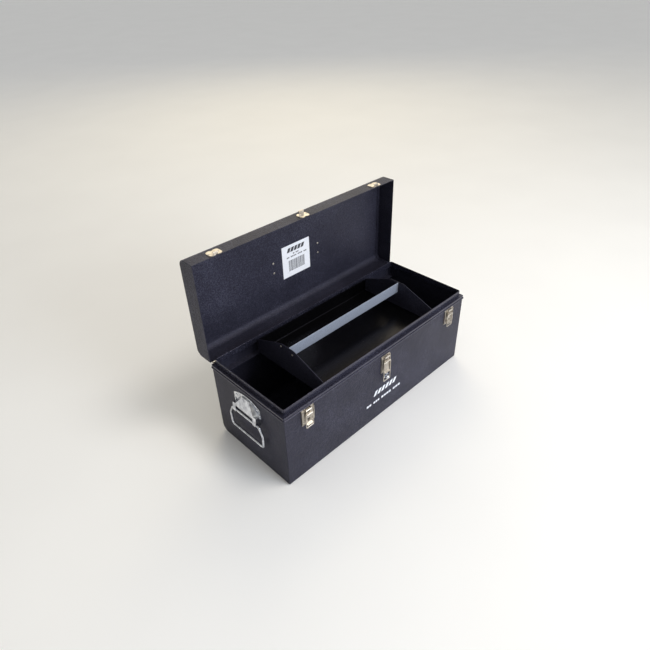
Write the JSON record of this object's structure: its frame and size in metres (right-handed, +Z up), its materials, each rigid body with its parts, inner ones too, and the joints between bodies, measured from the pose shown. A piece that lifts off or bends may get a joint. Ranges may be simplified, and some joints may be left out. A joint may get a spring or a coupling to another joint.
{
  "type": "metal tool box",
  "caption": "Long steel tool box with a hinged lid, draw latches, drop handles and a lift-out tote tray, shown open.",
  "frame": {"origin": "centre of the flat base, on the floor", "axes": "+X along the box's length, -Y towards the latches, +Z up"},
  "size_m": [0.638, 0.3174, 0.4539],
  "materials": {
    "coat": "fine wrinkle powder coat, near black",
    "plated_steel": "nickel plated",
    "chrome": "bright plated",
    "tray_bar": "zinc plated, satin",
    "label": "white paper",
    "grip": "black sleeve"
  },
  "bodies": {
    "body": {"body_wrap": "coat", "body_end_left": "coat", "body_end_right": "coat", "rim_frame": "coat", "tray_rail_front": "coat", "tray_rail_rear": "coat", "hinge_body_leaf": "plated_steel", "hinge_pin": "plated_steel", "padlock_stud": "plated_steel", "latch_rivets": "plated_steel", "end_handle_plate_left": "chrome", "end_handle_plate_right": "chrome", "end_handle_rivets_left": "chrome", "end_handle_rivets_right": "chrome", "latch_left_base": "plated_steel", "latch_left_pin": "plated_steel", "latch_right_base": "plated_steel", "latch_right_pin": "plated_steel", "latch_centre_base": "plated_steel", "latch_centre_pin": "plated_steel"},
    "lid": {"lid_wrap": "coat", "lid_end_left": "coat", "lid_end_right": "coat", "hinge_lid_leaf": "plated_steel", "lid_stops": "coat", "lid_label": "label", "keeper_left": "plated_steel", "keeper_right": "plated_steel", "keeper_centre": "plated_steel", "keeper_rivets": "plated_steel", "top_handle_bracket_left": "chrome", "top_handle_bracket_right": "chrome", "top_handle_rivets": "plated_steel"},
    "tray": {"tray_trough": "coat", "tray_end_left": "coat", "tray_end_right": "coat", "tray_lug_left": "coat", "tray_lug_right": "coat", "tray_handle_bar": "tray_bar", "tray_rivets_left": "plated_steel", "tray_rivets_right": "plated_steel"},
    "bail_left": {"end_handle_bail_left": "chrome"},
    "bail_right": {"end_handle_bail_right": "chrome"},
    "top_handle": {"top_handle_rod": "chrome", "top_handle_grip": "grip"},
    "lever_left": {"latch_left_lever": "plated_steel"},
    "loop_left": {"latch_left_loop": "plated_steel"},
    "lever_right": {"latch_right_lever": "plated_steel"},
    "loop_right": {"latch_right_loop": "plated_steel"},
    "lever_centre": {"latch_centre_lever": "plated_steel"},
    "loop_centre": {"latch_centre_loop": "plated_steel"}
  },
  "joints": [
    {"name": "lid_hinge", "type": "hinge", "parent": "body", "child": "lid", "pos_m": [0, 0.1238, 0.1992], "axis": [1, 0, 0], "range_deg": [0, 90]},
    {"name": "tray_lift", "type": "slide", "parent": "body", "child": "tray", "axis": [0, 0, -1], "range_m": [-0.12, 0]},
    {"name": "bail_left_swing", "type": "hinge", "parent": "body", "child": "bail_left", "pos_m": [-0.3145, 0, 0.129], "axis": [0, 1, 0], "range_deg": [0, 90]},
    {"name": "bail_right_swing", "type": "hinge", "parent": "body", "child": "bail_right", "pos_m": [0.3145, 0, 0.129], "axis": [0, -1, 0], "range_deg": [0, 90]},
    {"name": "top_handle_swing", "type": "hinge", "parent": "lid", "child": "top_handle", "pos_m": [0, 0.178, 0.323], "axis": [1, 0, 0], "range_deg": [0, 180]},
    {"name": "lever_left_swing", "type": "hinge", "parent": "body", "child": "lever_left", "pos_m": [-0.244, -0.125, 0.185], "axis": [1, 0, 0], "range_deg": [-100, 0]},
    {"name": "loop_left_swing", "type": "hinge", "parent": "lever_left", "child": "loop_left", "pos_m": [-0.244, -0.1268, 0.174], "axis": [-1, 0, 0], "range_deg": [0, 184.54]},
    {"name": "lever_right_swing", "type": "hinge", "parent": "body", "child": "lever_right", "pos_m": [0.244, -0.125, 0.185], "axis": [1, 0, 0], "range_deg": [-100, 0]},
    {"name": "loop_right_swing", "type": "hinge", "parent": "lever_right", "child": "loop_right", "pos_m": [0.244, -0.1268, 0.174], "axis": [-1, 0, 0], "range_deg": [0, 184.54]},
    {"name": "lever_centre_swing", "type": "hinge", "parent": "body", "child": "lever_centre", "pos_m": [0, -0.125, 0.177], "axis": [1, 0, 0], "range_deg": [-100, 0]},
    {"name": "loop_centre_swing", "type": "hinge", "parent": "lever_centre", "child": "loop_centre", "pos_m": [0, -0.1268, 0.165], "axis": [-1, 0, 0], "range_deg": [0, 178.51]}
  ]
}
